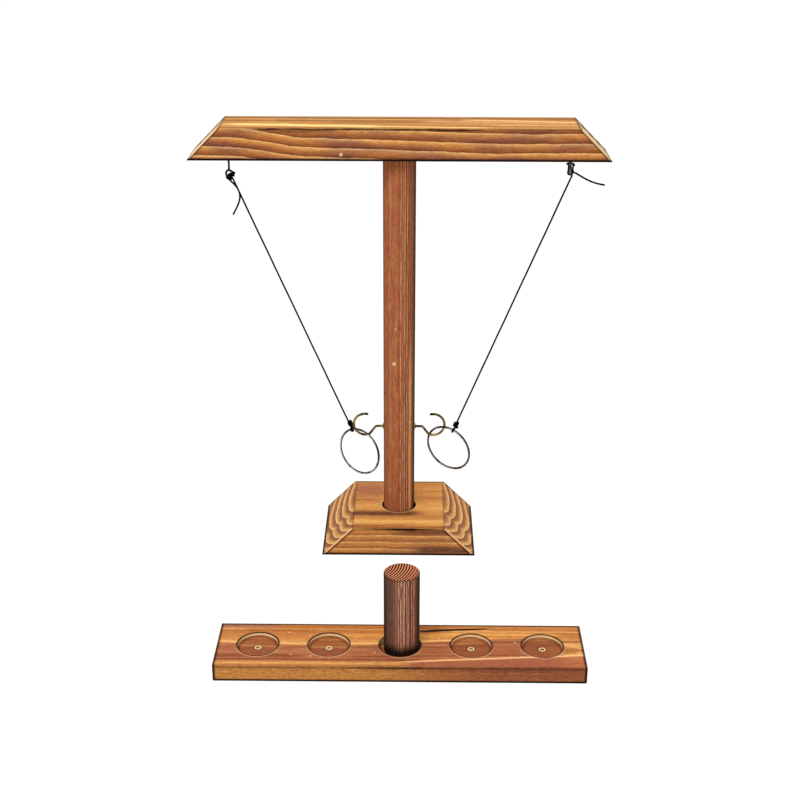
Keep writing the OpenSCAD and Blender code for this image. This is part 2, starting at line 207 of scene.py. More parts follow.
def fill(tree, node, values):
    """Sets or links sockets of a node."""
    for key, value in values.items():
        if isinstance(value, Level):
            value = value.socket
        if isinstance(value, bpy.types.NodeSocket):
            tree.links.new(value, node.inputs[key])
        else:
            node.inputs[key].default_value = value


def add_node(tree, kind, settings, values):
    """A node of a tree: its settings first, then the value or the link of each socket."""
    made = tree.nodes.new(kind)
    for key, value in settings.items():
        if key == "stops":
            set_stops(made.color_ramp, value)
        else:
            setattr(made, key, value)
    fill(tree, made, values)
    return made


class Level:
    """A socket of a material; arithmetic on it adds Math nodes."""

    def __init__(self, paint, socket):
        self.paint = paint
        self.socket = socket

    def maths(self, operation, first, second=0):
        return self.paint.node("ShaderNodeMath", {"operation": operation}, {0: first, 1: second})

    def __add__(self, other):
        return self.maths("ADD", self, other)

    def __radd__(self, other):
        return self.maths("ADD", other, self)

    def __sub__(self, other):
        return self.maths("SUBTRACT", self, other)

    def __rsub__(self, other):
        return self.maths("SUBTRACT", other, self)

    def __mul__(self, other):
        return self.maths("MULTIPLY", self, other)

    def __rmul__(self, other):
        return self.maths("MULTIPLY", other, self)

    def __truediv__(self, other):
        return self.maths("DIVIDE", self, other)

    def __pow__(self, other):
        return self.maths("POWER", self, other)

    def __abs__(self):
        return self.maths("ABSOLUTE", self)


class Paint:
    """A material that is built up node by node."""

    def __init__(self, name):
        self.material = bpy.data.materials.new(name)
        self.material.use_nodes = True
        self.tree = self.material.node_tree
        self.shader = self.tree.nodes["Principled BSDF"]

    def node(self, kind, settings, values, out=0):
        return Level(self, add_node(self.tree, kind, settings, values).outputs[out])

    def place(self):
        """X, Y and Z of the surface in millimetres of the shared frame."""
        raw = self.node("ShaderNodeTexCoord", {}, {}, "Object")
        split = self.node("ShaderNodeSeparateXYZ", {}, {0: raw})
        return [Level(self, socket) * (1 / MM) for socket in split.socket.node.outputs]

    def use(self, **values):
        """Fills the shader's own sockets, with spaces written as underscores."""
        fill(self.tree, self.shader, {key.replace("_", " "): value for key, value in values.items()})
        return self.material


def join(x, y, z):
    return x.paint.node("ShaderNodeCombineXYZ", {}, {0: x, 1: y, 2: z})


def noise(vector, detail=2.0, roughness=0.5):
    return vector.paint.node("ShaderNodeTexNoise", {}, {"Vector": vector, "Scale": 1.0,
                             "Detail": detail, "Roughness": roughness})


def floor(value):
    return value.maths("FLOOR", value)


def least(first, second):
    return first.maths("MINIMUM", first, second)


def most(first, *others):
    for other in others:
        first = first.maths("MAXIMUM", first, other)
    return first


def smooth(value, low, high):
    """0 below low and 1 above high, with a soft step between."""
    return value.paint.node("ShaderNodeMapRange", {"interpolation_type": "SMOOTHSTEP"},
                            {"Value": value, "From Min": low, "From Max": high})


def near(value, half):
    """1 where a value is 0, falling softly to 0 at half on either side."""
    return 1 - smooth(abs(value), 0, half)


def mix(share, first, second, blend="MIX"):
    paint = next(part.paint for part in (share, first, second) if isinstance(part, Level))
    return paint.node("ShaderNodeMix", {"data_type": "RGBA", "blend_type": blend},
                      {0: share, 6: first, 7: second}, 2)


def bump(height, strength, distance):
    return height.paint.node("ShaderNodeBump", {}, {"Height": height, "Strength": strength,
                             "Distance": distance})


# Each wood's growth ring from its sharp edge on: place and colour
HONEY = [(0.0, "7a4220"), (0.06, "ecb872"), (0.14, "e0a360"), (0.3, "ca8848"),
         (0.55, "b4703a"), (0.85, "965428"), (1.0, "7a4220")]
PLUM = [(0.0, "683824"), (0.06, "d8a674"), (0.16, "c48e60"), (0.33, "a86e48"),
        (0.6, "92563c"), (0.88, "7a442e"), (1.0, "683824")]
END_GRAIN = [(0.0, "743a1c"), (0.06, "955a3c"), (0.24, "a26545"), (0.38, "ac7048"), (0.5, "cc8e50"),
             (0.7, "e0a862"), (0.9, "f4c482"), (0.96, "e2a866"), (1.0, "743a1c")]
PEG_SIDE = [(0.0, "4c2a20"), (0.08, "dca284"), (0.22, "a96e54"), (0.7, "7c4c3c"), (1.0, "4c2a20")]
PEG_END = [(0.0, "160200"), (0.48, "2c0800"), (0.56, "f6ac7c"), (0.78, "e68e5c"),
           (0.92, "702606"), (1.0, "160200")]
CREAM = linear("ffe0ac")
# The darkest colour, for painted shade as well as for real dark marks
SHADE_AND_DARK_MARK = linear("140502")
# A pale colour for worn edges and for the painted highlight on the board's recess rims
WORN_AND_HIGHLIGHT = linear("f4be88")


def ring_count(side, rise, along, pith, spacing, waves, stretch):
    """How many growth rings lie between the pith and a point, waved as real ones are."""
    ripple = (noise(join(along / 14, side / 5, rise / 5), 2) - 0.5) * 0.26
    turn = join(along / stretch, side / 26, rise / 26)
    other = join(along / stretch + 7, side / 26, rise / 26 + 3)
    y = side - pith[0] + (noise(turn) - 0.5) * waves
    z = rise - pith[1] + (noise(other) - 0.5) * waves
    return (y * y + z * z) ** 0.5 / spacing + ripple


def scallops(side, cusp, width):
    """0 at each cusp to 1 between them, in the rounded waves that a sawn end shows."""
    return abs(side.maths("SINE", (side - cusp) * (math.pi / width)))


def tones(count, stops):
    """The colours of a growth ring, the same for each."""
    return count.paint.node("ShaderNodeValToRGB", {"stops": stops}, {"Fac": count - floor(count)})


def stained_rings(count, zone, plain, contrast):
    """Ring tones in two stains over a plain one."""
    colour = mix(zone, tones(count, HONEY), tones(count, PLUM))
    return mix(contrast, linear(plain), colour)


def grain(count, along, side, rise):
    """Odd rings, mottling and fibres: a factor near 1 for the colour, and the relief."""
    odd = count.paint.node("ShaderNodeTexWhiteNoise", {"noise_dimensions": "1D"}, {"W": floor(count)}) - 0.5
    mottle = noise(join(along / 3.4, side / 1.2, rise / 1.2), 3, 0.7) - 0.5
    fibre = noise(join(along / 11, side * 2.1, rise * 2.1), 2, 0.6) - 0.5
    return 1 + odd * 0.12 + mottle * 1.15 + fibre * 0.8, fibre + odd * 0.3


def stain(colour, share, hex_colour):
    return mix(share, colour, linear(hex_colour))


def finish_wood(paint, colour, value, relief, dark_marks_and_shade, rubbed, pale, dull=0.75):
    """Dark marks and painted shade, pale worn edges and a painted highlight, bare cut wood, and a satin
    surface that shows the fibres.
    """
    colour = mix(1.0, colour, join(value, value, value), "MULTIPLY")
    # Painted shade goes on with the dark marks, and a painted highlight with the worn edges
    for share, over in ((pale, CREAM), (rubbed, WORN_AND_HIGHLIGHT), (dark_marks_and_shade, SHADE_AND_DARK_MARK)):
        colour = mix(share, colour, over)
    rough = dull + relief * 0.2
    return paint.use(Base_Color=colour, Roughness=rough, Specular_IOR_Level=0.1,
                     Normal=bump(relief, 0.35, 0.00025))


def streak(along, across, ends, at, slope, half):
    """A soft band of stain along the grain, between two ends."""
    inside = smooth(along, ends[0], ends[0] + 18) * (1 - smooth(along, ends[1] - 18, ends[1]))
    wander = (noise(join(along / 22, at, 0), 2) - 0.5) * 1.6
    uneven = noise(join(along / 13, across / 1.6, at), 3, 0.6) * 1.3 + 0.35
    return least(inside * near(across + wander - at - along * slope, half) * uneven, 1)


def streaks(colour, along, across, face, table):
    """Bands of stain on a face: the ends, place, slope, half width, colour and strength of each."""
    for ends, at, slope, half, hex_colour, share in table:
        band = streak(along, across, ends, at, slope, half) * face
        colour = stain(colour, band * share, hex_colour)
    return colour


def plank_walls(x, y, z, low, high, bevel):
    """Distances in millimetres from each face of a plank with leaning ends, and the nearer end."""
    lean = math.cos(math.atan2(bevel, high.z - low.z)) if bevel else 1.0
    share = bevel / (high.z - low.z)
    left = (x - low.x - (z - low.z) * share) * lean
    right = (high.x - x - (z - low.z) * share) * lean
    return {"top": high.z - z, "bottom": z - low.z, "front": y - low.y, "back": high.y - y,
            "left": left, "right": right, "end": least(left, right)}


def edge(walls, first, second, width):
    """1 along the edge where two faces meet, gone at a width from it."""
    return 1 - smooth(walls[first] + walls[second], width * 0.45, width)


def outlines(walls, width, pairs):
    """The darker line along several edges of a plank: a painted dark outline, with painted shade along the
    bottom edges.
    """
    return most(*[edge(walls, first, second, width) * share for first, second, share in pairs])


def flecks(x, y, z, spots):
    """Small pale chips where the stain has come off."""
    return most(*[near(((x - place[0]) ** 2 + (y - place[1]) ** 2 + (z - place[2]) ** 2) ** 0.5, size)
                  for place, size in spots])


def bar_wood():
    """Crossbar: long waving rings in front, pale and dark bands on top, scorched end grain."""
    paint = Paint("stained_pine_crossbar")
    x, y, z = paint.place()
    drop = smooth(x, -128, -62) * 7.6 + smooth(x, -75, 80) * 3.6
    count = ring_count(y, z - BAR_UNDERSIDE + drop, x, pith=(9, 75), spacing=6.1, waves=1.3, stretch=60)
    count = count + 0.34
    zone = smooth(noise(join(x / 55, y / 22, z / 8), 1), 0.4, 0.62)
    colour = stained_rings(count, zone, "a86c44", 1.0)
    walls = plank_walls(x, y, z, BAR_LOW, BAR_HIGH, BAR_THICK)
    on_top = near(walls["top"], 1.5)
    on_front = near(walls["front"], 1.5)
    colour = stain(colour, on_top * 0.75, "c08848")
    # The palest yellow bands near the front of the top, ffd888 and ffd080, are partly grain and partly a
    # painted sheen
    colour = streaks(colour, x, y, on_top, (
        ((-160, 160), 15, 0, 3.5, "72441c", 0.95), ((-160, 90), 6, 0, 4, "8a5426", 0.85),
        ((-160, -20), -20, 0, 3, "8a5426", 0.8), ((-60, 160), 1, 0.03, 4, "8e5828", 0.8),
        ((-10, 160), -13, 0.02, 3, "985e34", 0.7), ((-134, -8), -14.3, -0.053, 6.5, "ffd888", 1.0),
        ((-40, 70), -14.3, -0.053, 2.6, "ffd080", 1.0), ((40, 160), 15, -0.09, 3.5, "f4c47c", 0.9),
        ((-160, 20), 11, -0.01, 2.5, "dba768", 0.7), ((60, 160), -7, -0.02, 2.5, "f4b878", 0.9),
        ((10, 160), 5, -0.02, 5, "e8b078", 0.7)))
    ragged = noise(join(x / 8, 0, 0), 3) * 2.6
    crack = streak(x, walls["top"], (-112, 70), 0.7, 0, ragged) * on_front
    wedge = streak(x, walls["top"], (-95, -38), 1.8, 0, 2.2) * on_front
    end = near(walls["end"], 0.9)
    colour = mix(end, colour, tones(count, END_GRAIN))
    colour = stain(colour, end * (0.55 + smooth(walls["back"], 14, 30) * 0.3), "f8d6a6")
    late = near(count - floor(count) - 0.7, 0.5)
    scorch = (1 - smooth(walls["back"], 12, 27)) * end
    # Painted shade as dark outlines along the edges, with the end grain's dark rings and the cracks
    dark_marks_and_shade = most(
        outlines(walls, 2.6, (("bottom", "front", 1), ("bottom", "back", 0.9), ("top", "back", 0.5),
                              ("end", "bottom", 1))),
        outlines(walls, 1.3, (("left", "top", 0.6), ("right", "top", 0.7))),
        edge(walls, "top", "front", 1.2) * smooth(x, 40, 80) * 0.5,
        scorch * (0.15 + smooth(late, 0.1, 0.5) * 0.8),
        near(walls["end"] - 1.0, 0.9) * on_front * 0.8, crack * 0.95, wedge * 0.6)
    chips = flecks(x, y, z, [((-42.5, BAR_LOW.y, BAR_UNDERSIDE + 5), 1.8)])
    value, relief = grain(count, x, y, z)
    value = (value - 1) * (1 - end * 0.8) + 1.02
    return finish_wood(paint, colour, value, relief, dark_marks_and_shade, 0.0, chips, 0.75 + end * 0.2)


def base_wood():
    """Base: bands on top, scalloped rings on its sloping ends, and painted shade in its socket."""
    paint = Paint("stained_pine_base")
    x, y, z = paint.place()
    walls = plank_walls(x, y, z, BASE_LOW, BASE_HIGH, BASE_THICK)
    on_top = near(walls["top"], 1.5)
    on_front = near(walls["front"], 1.5)
    ends = near(walls["end"], 1.5)
    count = ring_count(y, z, x, pith=(12, 148), spacing=5.5, waves=1.6, stretch=90)
    lobes = most(scallops(y, -16, 27), smooth(y, -6, -1))
    waved = count - lobes * 0.36
    zone = smooth(noise(join(x / 50, y / 14, z / 8), 1), 0.45, 0.65)
    colour = stained_rings(count + 0.4, zone, "e69e52", 0.72 - on_top * 0.54)
    colour = streaks(colour, x, y, on_top, (
        ((-70, -2), 27, 0, 24, "a8664c", 0.9), ((-70, 26), -16, 0, 8, "6c3a26", 1.0),
        ((-70, -10), 8, 0, 4, "a8663c", 0.8), ((-70, 60), -7.5, 0, 3.5, "e2a056", 0.7),
        ((-70, 64), -30, 0, 4.5, "f8bc68", 0.95), ((-70, 16), -36.4, 0, 1.3, "54260f", 0.95),
        ((-70, 56), -39.5, 0, 3, "9c5028", 0.9), ((-70, 70), 42, 0, 2, "dc9c50", 0.8),
        ((10, 70), 11, 0, 6, "b4723a", 0.85), ((10, 70), 24, 0, 3, "c07c42", 0.8),
        ((10, 70), 36, 0, 4, "c88648", 0.6), ((10, 70), -8, 0, 4, "f0b260", 0.8),
        ((10, 70), -22, 0, 5, "c27c3c", 0.8), ((10, 70), -34, 0, 4, "f0ae5c", 0.6)))
    low_right = streak(x, z, (5, 80), 5, 0, 5) * on_front
    high_right = streak(x, z, (-10, 80), 21, 0, 4) * on_front
    colour = stain(colour, low_right * 0.85, "4f2a22")
    colour = stain(colour, high_right * 0.8, "6c3824")
    colour = mix(ends, colour, tones(waved, END_GRAIN))
    # Painted shade as dark outlines along the edges, and as contact shadow along the bottom
    dark_marks_and_shade = outlines(walls, 3.0, (
        ("bottom", "front", 1), ("bottom", "back", 0.9), ("top", "back", 0.9), ("end", "back", 0.95),
        ("end", "bottom", 0.95)))
    ragged = noise(join(x / 7, 0, 0), 3) * 3.2
    strong = 0.45 + near(x - 4, 45) * 0.6
    front_line = near(walls["top"] + walls["front"] - 0.6, ragged) * strong
    beside = near(walls["end"] - 1.9, 1.2) * on_front * 0.85
    inner_line = near(walls["end"] - 0.8, 0.8) * on_top * 0.6
    lines = most(front_line, beside, inner_line)
    dark_marks_and_shade = most(dark_marks_and_shade, lines * smooth(walls["end"], 0.2, 0.9))
    rubbed = edge(walls, "end", "front", 1.4)
    hole = (x * x + y * y) ** 0.5 - SOCKET_RADIUS
    rim = near(hole - 1.1, 0.7) * on_top
    # Painted shade inside the socket, round the foot of the post
    inside = (1 - smooth(hole, 0.45, 0.65)) * (0.9 + smooth(walls["top"], 0.4, 1.2) * 0.1)
    value, relief = grain(count, x, y, z)
    value = value * (1 + ends * smooth(x, 0, 20) * 0.1)
    return finish_wood(paint, colour, value, relief, most(dark_marks_and_shade, inside),
                       most(rubbed * 0.9, rim * 0.75), 0.0)


def board_wood():
    """Score board: two tones along its top, and recesses with pale walls, with painted shade on their
    floors, rims and wall feet and a painted highlight along their front rims.
    """
    paint = Paint("stained_pine_board")
    x, y, z = paint.place()
    u = x - BOARD_PLACE.x
    v = y - BOARD_PLACE.y
    walls = plank_walls(x, y, z, BOARD_LOW, BOARD_HIGH, 0)
    on_top = 1 - smooth(walls["top"], 4, 5)
    face = near(walls["top"], 0.8)
    on_front = near(walls["front"], 1.0)
    count = ring_count(v, z, x, pith=(-5, -26), spacing=5.6, waves=3.5, stretch=150)
    colour = stained_rings(count, 0.4, "c4803e", 0.5)
    wobble = (noise(join(x / 30, v / 20, 0), 2) - 0.5) * 2.4
    border = smooth(u, -40, 110) * 10 - 0.5 + (1 - smooth(u, -130, -70)) * 2
    above = v + wobble - border
    lower = (1 - smooth(above, -0.8, 1.0)) * (1 - smooth(u + v * 0.4, 98, 116))
    colour = stain(colour, lower * on_top * 0.8, "96553a")
    lit = near(above - 1.7, 1.7) * (1 - smooth(u, 40, 80)) * on_top
    colour = stain(colour, lit * 0.75, "eab26a")
    streak_line = v + 21 - u * 0.076
    reddish = (1 - smooth(streak_line, -1.2, -0.2)) * smooth(u, -10, 40) * on_top
    colour = stain(colour, reddish * 0.6, "96523a")
    colour = streaks(colour, u, v, on_top, (
        ((-150, -78), 25, 0, 7, "85574a", 0.9), ((-150, 14), -23, 0, 3.4, "d09550", 0.95),
        ((-8, 150), -21, 0.076, 1.5, "f6bd80", 0.95), ((-60, 60), 12, 0, 4, "d89648", 0.7),
        ((20, 120), 14, 0, 3, "e8a854", 0.7), ((-150, -60), -14, 0, 4, "763a22", 0.8),
        ((-150, 20), -18.6, 0, 0.9, "501f0c", 0.9), ((-120, 10), 17, -0.01, 2.5, "96541f", 0.85),
        ((-60, 90), -9, 0.02, 2.5, "98502c", 0.7), ((10, 150), 2, 0.03, 2, "70381c", 0.8),
        ((-100, 40), 22, 0, 2.5, "985524", 0.8), ((-90, 60), -3, 0.01, 2, "834426", 0.7),
        ((40, 150), 21, -0.01, 2, "9a5a2a", 0.7), ((-40, 120), -14, 0.03, 1.6, "713619", 0.7)))
    front_tone = mix(smooth(u, -40, 70), linear("bc7e3e"), linear("86482e"))
    colour = mix(on_front * 0.8, colour, front_tone)
    nearest_recess = floor(u / RECESS_PITCH + 0.5) * RECESS_PITCH
    radius = ((u - nearest_recess) ** 2 + v * v) ** 0.5
    gap = radius - RECESS_RADIUS
    depth = walls["top"]
    # Painted shade on the floor and the low part of the wall of each recess
    recess_shade = smooth(depth, 1.9, 2.3)
    colour = stain(colour, recess_shade * (1 - smooth(gap, 0.3, 0.6)) * 0.72, "7c4428")
    wall = smooth(gap, -1.3, -0.9) * (1 - smooth(gap, 0.2, 0.5))
    wall = wall * smooth(depth, 0.25, 0.5) * (1 - recess_shade)
    rear = smooth(v, -11, 2)
    # A painted highlight along the front rim of each recess
    front_rim_highlight = near(gap - 1.5, 0.8) * (1 - rear) * face * 0.6
    # Painted shade: a dark ring round the rim of each recess
    rim = near(gap - 0.3, 1.6) * near(depth, 0.6) * (0.75 + rear * 0.25)
    nub = most(near(radius - 2.0, 0.8), near(radius, 0.8))
    nub_edge = most(near(radius - 3.0, 0.7) * 0.5, near(radius - 1.1, 0.5) * 0.4)
    crack = streak(u, v, (6, 68), 16.6, 0.075, 2.3 - smooth(u, 14, 60)) * face
    crack = least(crack * 2.2, 1)
    ragged = noise(join(x / 9, 0, 0), 3) * 3.4
    front_line = near(depth - 1.4, ragged) * on_front * (0.45 + near(u, 50) * 0.5)
    # Painted shade as dark outlines along the edges, and as contact shadow along the bottom
    dark_marks_and_shade = outlines(walls, 2.6, (
        ("bottom", "front", 1), ("bottom", "back", 0.9), ("top", "back", 0.9), ("end", "front", 0.95),
        ("end", "back", 0.9), ("end", "top", 0.85), ("end", "bottom", 1)))
    # Painted shadow round the foot of each recess wall
    foot = near(gap + 1.1, 0.7) * smooth(depth, 2.3, 2.8) * 0.6
    dark_marks_and_shade = most(dark_marks_and_shade, rim, crack, front_line, nub_edge, foot)
    chips = flecks(u, v, z, [((x_at, y_at, BOARD_HIGH.z), 1.2) for x_at, y_at in BOARD_CHIPS])
    value, relief = grain(count, x, y, z)
    value = (value - 1) * (1.2 + on_front * 0.5) + (1.2 - on_front * 0.16)
    return finish_wood(paint, colour, value, relief, dark_marks_and_shade, front_rim_highlight, most(chips * 0.7, wall, nub))


def post_wood():
    """Post: red brown with fine uneven lines, and painted shade at its sides, heaviest on the right."""
    paint = Paint("stained_dowel_post")
    x, y, z = paint.place()
    count = ring_count(x, y, z, pith=(24, 56), spacing=1.35, waves=1.6, stretch=80)
    colour = stained_rings(count, 0.6, "a8633c", 0.25)
    red = noise(join(z / 12, x / 3, y / 3), 4, 0.65)
    colour = stain(colour, smooth(red, 0.38, 0.62) * 0.6, "9a4c30")
    # Painted shade: the right side darker
    colour = stain(colour, smooth(x, 4, 11) * 0.35, "8c5c40")
    sway = (noise(join(z / 45, 0, 0), 2) - 0.5) * 1.4
    for at, share in ((1.3, 0.7), (3.0, 0.5), (4.4, 0.8), (6.2, 0.7), (-6.5, 0.3)):
        some = smooth(noise(join(z / 16, at, 0), 2), 0.3, 0.6) * share
        colour = stain(colour, near(x + sway - at, 0.6) * some, "e4a67a")
        colour = stain(colour, near(x + sway - at - 0.95, 0.6) * some * 0.9, "58291a")
    low_band = near(x + sway * 0.5 - 8.7, 1.6) * (1 - smooth(z, 130, 190))
    colour = stain(colour, low_band * 0.9, "eaa870")
    patchy = 0.75 + noise(join(z / 14, y / 2, 3), 3, 0.6) * 0.4
    # Painted shade: a dark band down the right side and a lighter one down the left
    dark_marks_and_shade = most(least(smooth(x, 9.8, 12.5) * patchy, 0.96), (1 - smooth(x, -12.5, -11)) * 0.6)
    chips = flecks(x, y, z, [((-4, -POST_RADIUS, 154), 2.6), ((-3, -POST_RADIUS, 183), 1.0)])
    value, relief = grain(count, z, x, y)
    return finish_wood(paint, colour, value, relief, dark_marks_and_shade, 0.0, chips)


def peg_wood():
    """Peg: darker wood with strong lines, rings on its end, painted shade down its sides, and darker
    towards its foot.
    """
    paint = Paint("dark_dowel_peg")
    x, y, z = paint.place()
    u = x - PEG_PLACE.x
    v = y - PEG_PLACE.y
    count = ring_count(u, v, z, pith=(-27, 11), spacing=1.9, waves=0.9, stretch=60)
    sides = tones(count, PEG_SIDE)
    sides = stain(sides, (1 - smooth(u, -8, -1)) * 0.8, "50362c")
    sides = stain(sides, smooth(u, 2, 9) * 0.5, "7c4e3c")
    sway = (noise(join(z / 30, 0, 0), 2) - 0.5) * 0.8
    for at, share in ((-2.2, 0.6), (-0.4, 0.9), (1.8, 0.7), (4.6, 0.5), (8.4, 0.6)):
        some = smooth(noise(join(z / 13, at, 0), 2), 0.25, 0.6) * share
        sides = stain(sides, near(u + sway - at, 0.6) * some, "f4b694")
        sides = stain(sides, near(u + sway - at + 0.95, 0.6) * some, "280e08")
    end = near(PEG_HIGH.z - z, 0.4)
    ends = stain(tones(count, PEG_END), smooth(u, 0, 11) * 0.4, "b0603a")
    colour = mix(end, sides, ends)
    radius = (u * u + v * v) ** 0.5
    # A dark ring round the top edge, painted shade down both sides, and darker towards the foot
    dark_marks_and_shade = most(near(PEG_HIGH.z - z + PEG_RADIUS - radius, 1.3) * 0.9,
                 smooth(abs(u), 9, 12.4) * (1 - end) * 0.95,
                 (1 - smooth(z - PEG_LOW.z, 4, 13)) * 0.97)
    value, relief = grain(count, z, u, v)
    return finish_wood(paint, colour, value, relief, dark_marks_and_shade, 0.0, 0.0)


def metal(name, bright, dull, roughness, centre, axis, half, tip=None):
    """Plated wire with a painted reflection and shade: bright on the faces of its bend and dark towards its
    edges; the bend's plane has a centre and an axis.
    """
    paint = Paint(name)
    x, y, z = paint.place()
    off = abs((x - centre[0]) * axis[0] + (y - centre[1]) * axis[1] + (z - centre[2]) * axis[2])
    cloud = smooth(noise(join(x / 7, y / 7, z / 7), 3, 0.6), 0.4, 0.6)
    scratch = noise(join(x * 4, y * 4, z * 4), 2, 0.7)
    # The painted reflection: bright where the wire faces along the axis, in clouds, and painted dark
    # towards its edges
    face = smooth(off, half * 0.6, half * 0.95) * (0.12 + cloud * 0.88)
    # Near the hook's tip the painted reflection turns dark
    if tip:
        gap = ((abs(x) - tip[0]) ** 2 + y * y + (z - tip[1]) ** 2) ** 0.5
        face = face * smooth(gap, 1.2, 4.5)
    colour = mix(face, linear(dull), linear(bright))
    rough = roughness + 0.2 - face * 0.2 + scratch * 0.1
    return paint.use(Base_Color=colour, Roughness=rough, Metallic=1.0,
                     Normal=bump(scratch, 0.06, 0.0001))


def string_paint():
    """Black waxed string with a little lint."""
    paint = Paint("black_waxed_string")
    x, y, z = paint.place()
    lint = noise(join(x * 3, y * 3, z * 3), 3, 0.7)
    wax = noise(join(x / 2, y / 2, z / 2), 2)
    colour = mix(smooth(lint, 0.5, 0.8), linear("020202"), linear("0d0c0c"))
    return paint.use(Base_Color=colour, Roughness=0.6 + wax * 0.25, Specular_IOR_Level=0.05,
                     Normal=bump(lint, 0.3, 0.0001))


# Meshes

def new_piece(name, mesh, material):
    mesh.materials.clear()
    mesh.materials.append(material)
    mesh.shade_smooth()
    mesh.set_sharp_from_angle(angle=math.radians(SHARP_ANGLE))
    return add_object(name, mesh)


def wooden_piece(node, name, material, round_over, rim_share):
    """A CAD piece with its sharp edges rounded over, and its holes' rims less so."""
    work = bmesh.new()
    work.from_mesh(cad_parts[node].data)
    bmesh.ops.remove_doubles(work, verts=work.verts, dist=1e-6)
    bmesh.ops.dissolve_limit(work, angle_limit=math.radians(1), verts=work.verts, edges=work.edges)
    weight = work.edges.layers.float.new("bevel_weight_edge")
    for line in work.edges:
        if line.calc_face_angle(0) > math.radians(SHARP_ANGLE):
            line[weight] = 1.0 if line.calc_length() > LONGEST_RIM_EDGE * MM else rim_share
    mesh = bpy.data.meshes.new(name)
    work.to_mesh(mesh)
    work.free()
    piece = new_piece(name, mesh, material)
    bevel = piece.modifiers.new("round_over", "BEVEL")
    bevel.width = round_over * MM
    bevel.segments = 3
    bevel.limit_method = "WEIGHT"
    bevel.use_clamp_overlap = True
    return piece


def headings(line, closed):
    """The way that a line runs at each of its points."""
    padded = [line[-1], *line, line[0]] if closed else [line[0], *line, line[-1]]
    return [(padded[i + 2] - padded[i]).normalized() for i in range(len(line))]


def tube(name, line, radii, sides, material, closed=False):
    """A round wire along a line of points in millimetres, with a radius for each."""
    line = [Vector(p) for p in line]
    ahead = headings(line, closed)
    across = ahead[0].orthogonal().normalized()
    work = bmesh.new()
    loops = []
    for i, centre in enumerate(line):
        across = (across - across.dot(ahead[i]) * ahead[i]).normalized()
        up = ahead[i].cross(across)
        loop = []
        for k in range(sides):
            angle = 2 * math.pi * k / sides
            out = across * math.cos(angle) + up * math.sin(angle)
            loop.append(work.verts.new((centre + radii[i] * out) * MM))
        loops.append(loop)
    for here, there in zip(loops, loops[1:] + loops[:1] if closed else loops[1:]):
        for k in range(sides):
            after = (k + 1) % sides
            work.faces.new((here[k], here[after], there[after], there[k]))
    if not closed:
        work.faces.new(list(reversed(loops[0])))
        work.faces.new(loops[-1])
    bmesh.ops.recalc_face_normals(work, faces=work.faces)
    mesh = bpy.data.meshes.new(name)
    work.to_mesh(mesh)
    work.free()
    return new_piece(name, mesh, material)


def way_points(way):
    """X and Z along straights (0, length) and bends (radius, degrees)."""
    x, z, heading = 0.0, 0.0, 0.0
    points = [(x, z)]
    for radius, amount in way:
        if radius == 0:
            x += amount * math.cos(heading)
            z += amount * math.sin(heading)
            points.append((x, z))
            continue
        steps = math.ceil(abs(amount) / BEND_CUT)
        turn = math.radians(amount) / steps
        side = 1 if amount > 0 else -1
        for _ in range(steps):
            x += side * radius * (math.sin(heading + turn) - math.sin(heading))
            z -= side * radius * (math.cos(heading + turn) - math.cos(heading))
            heading += turn
            points.append((x, z))
    return points


def rounded_tip(line, radii, radius):
    """Adds a rounded end to a wire."""
    ahead = (Vector(line[-1]) - Vector(line[-2])).normalized()
    end = Vector(line[-1])
    for angle in (30, 55, 75, 88):
        line.append(end + ahead * radius * math.sin(math.radians(angle)))
        radii.append(radius * math.cos(math.radians(angle)))


def thread(start, turns, pitch, core, ridge):
    """Places and radii along a screw thread, as ridges on a core."""
    return [(start + (i + share) * pitch, size) for i in range(turns)
            for share, size in ((0.15, core), (0.5, ridge), (0.85, core))]


def cup_hook(side_name, material):
    """A cup hook: its thread in the post, a domed flange, and one run of bent wire."""
    radius = HOOK_WIRE / 2
    ridges = thread(THREAD_TIP - HOOK_THREAD, turns=6, pitch=1.2, core=1.1, ridge=1.5)
    wire = [(x, 0, size) for x, size in ridges]
    for share in (1.0, 0.99, 0.93, 0.82, 0.66, 0.5, 0.4):
        wire.append((-0.3 + 1.3 * math.sqrt(1 - share * share), 0, HOOK_FLANGE / 2 * share))
    wire.append((1.35, 0, radius))
    wire += [(x, z, radius) for x, z in way_points(HOOK_WAY)[1:]]
    line = [(x, 0, z) for x, z, _ in wire]
    radii = [size for _, _, size in wire]
    rounded_tip(line, radii, radius)
    placed = [(SIDES[side_name] * (POST_RADIUS + p[0]), 0, HOOK_HEIGHT + p[2]) for p in line]
    return tube("cup_hook_" + side_name + "_wire", placed, radii, 24, material)


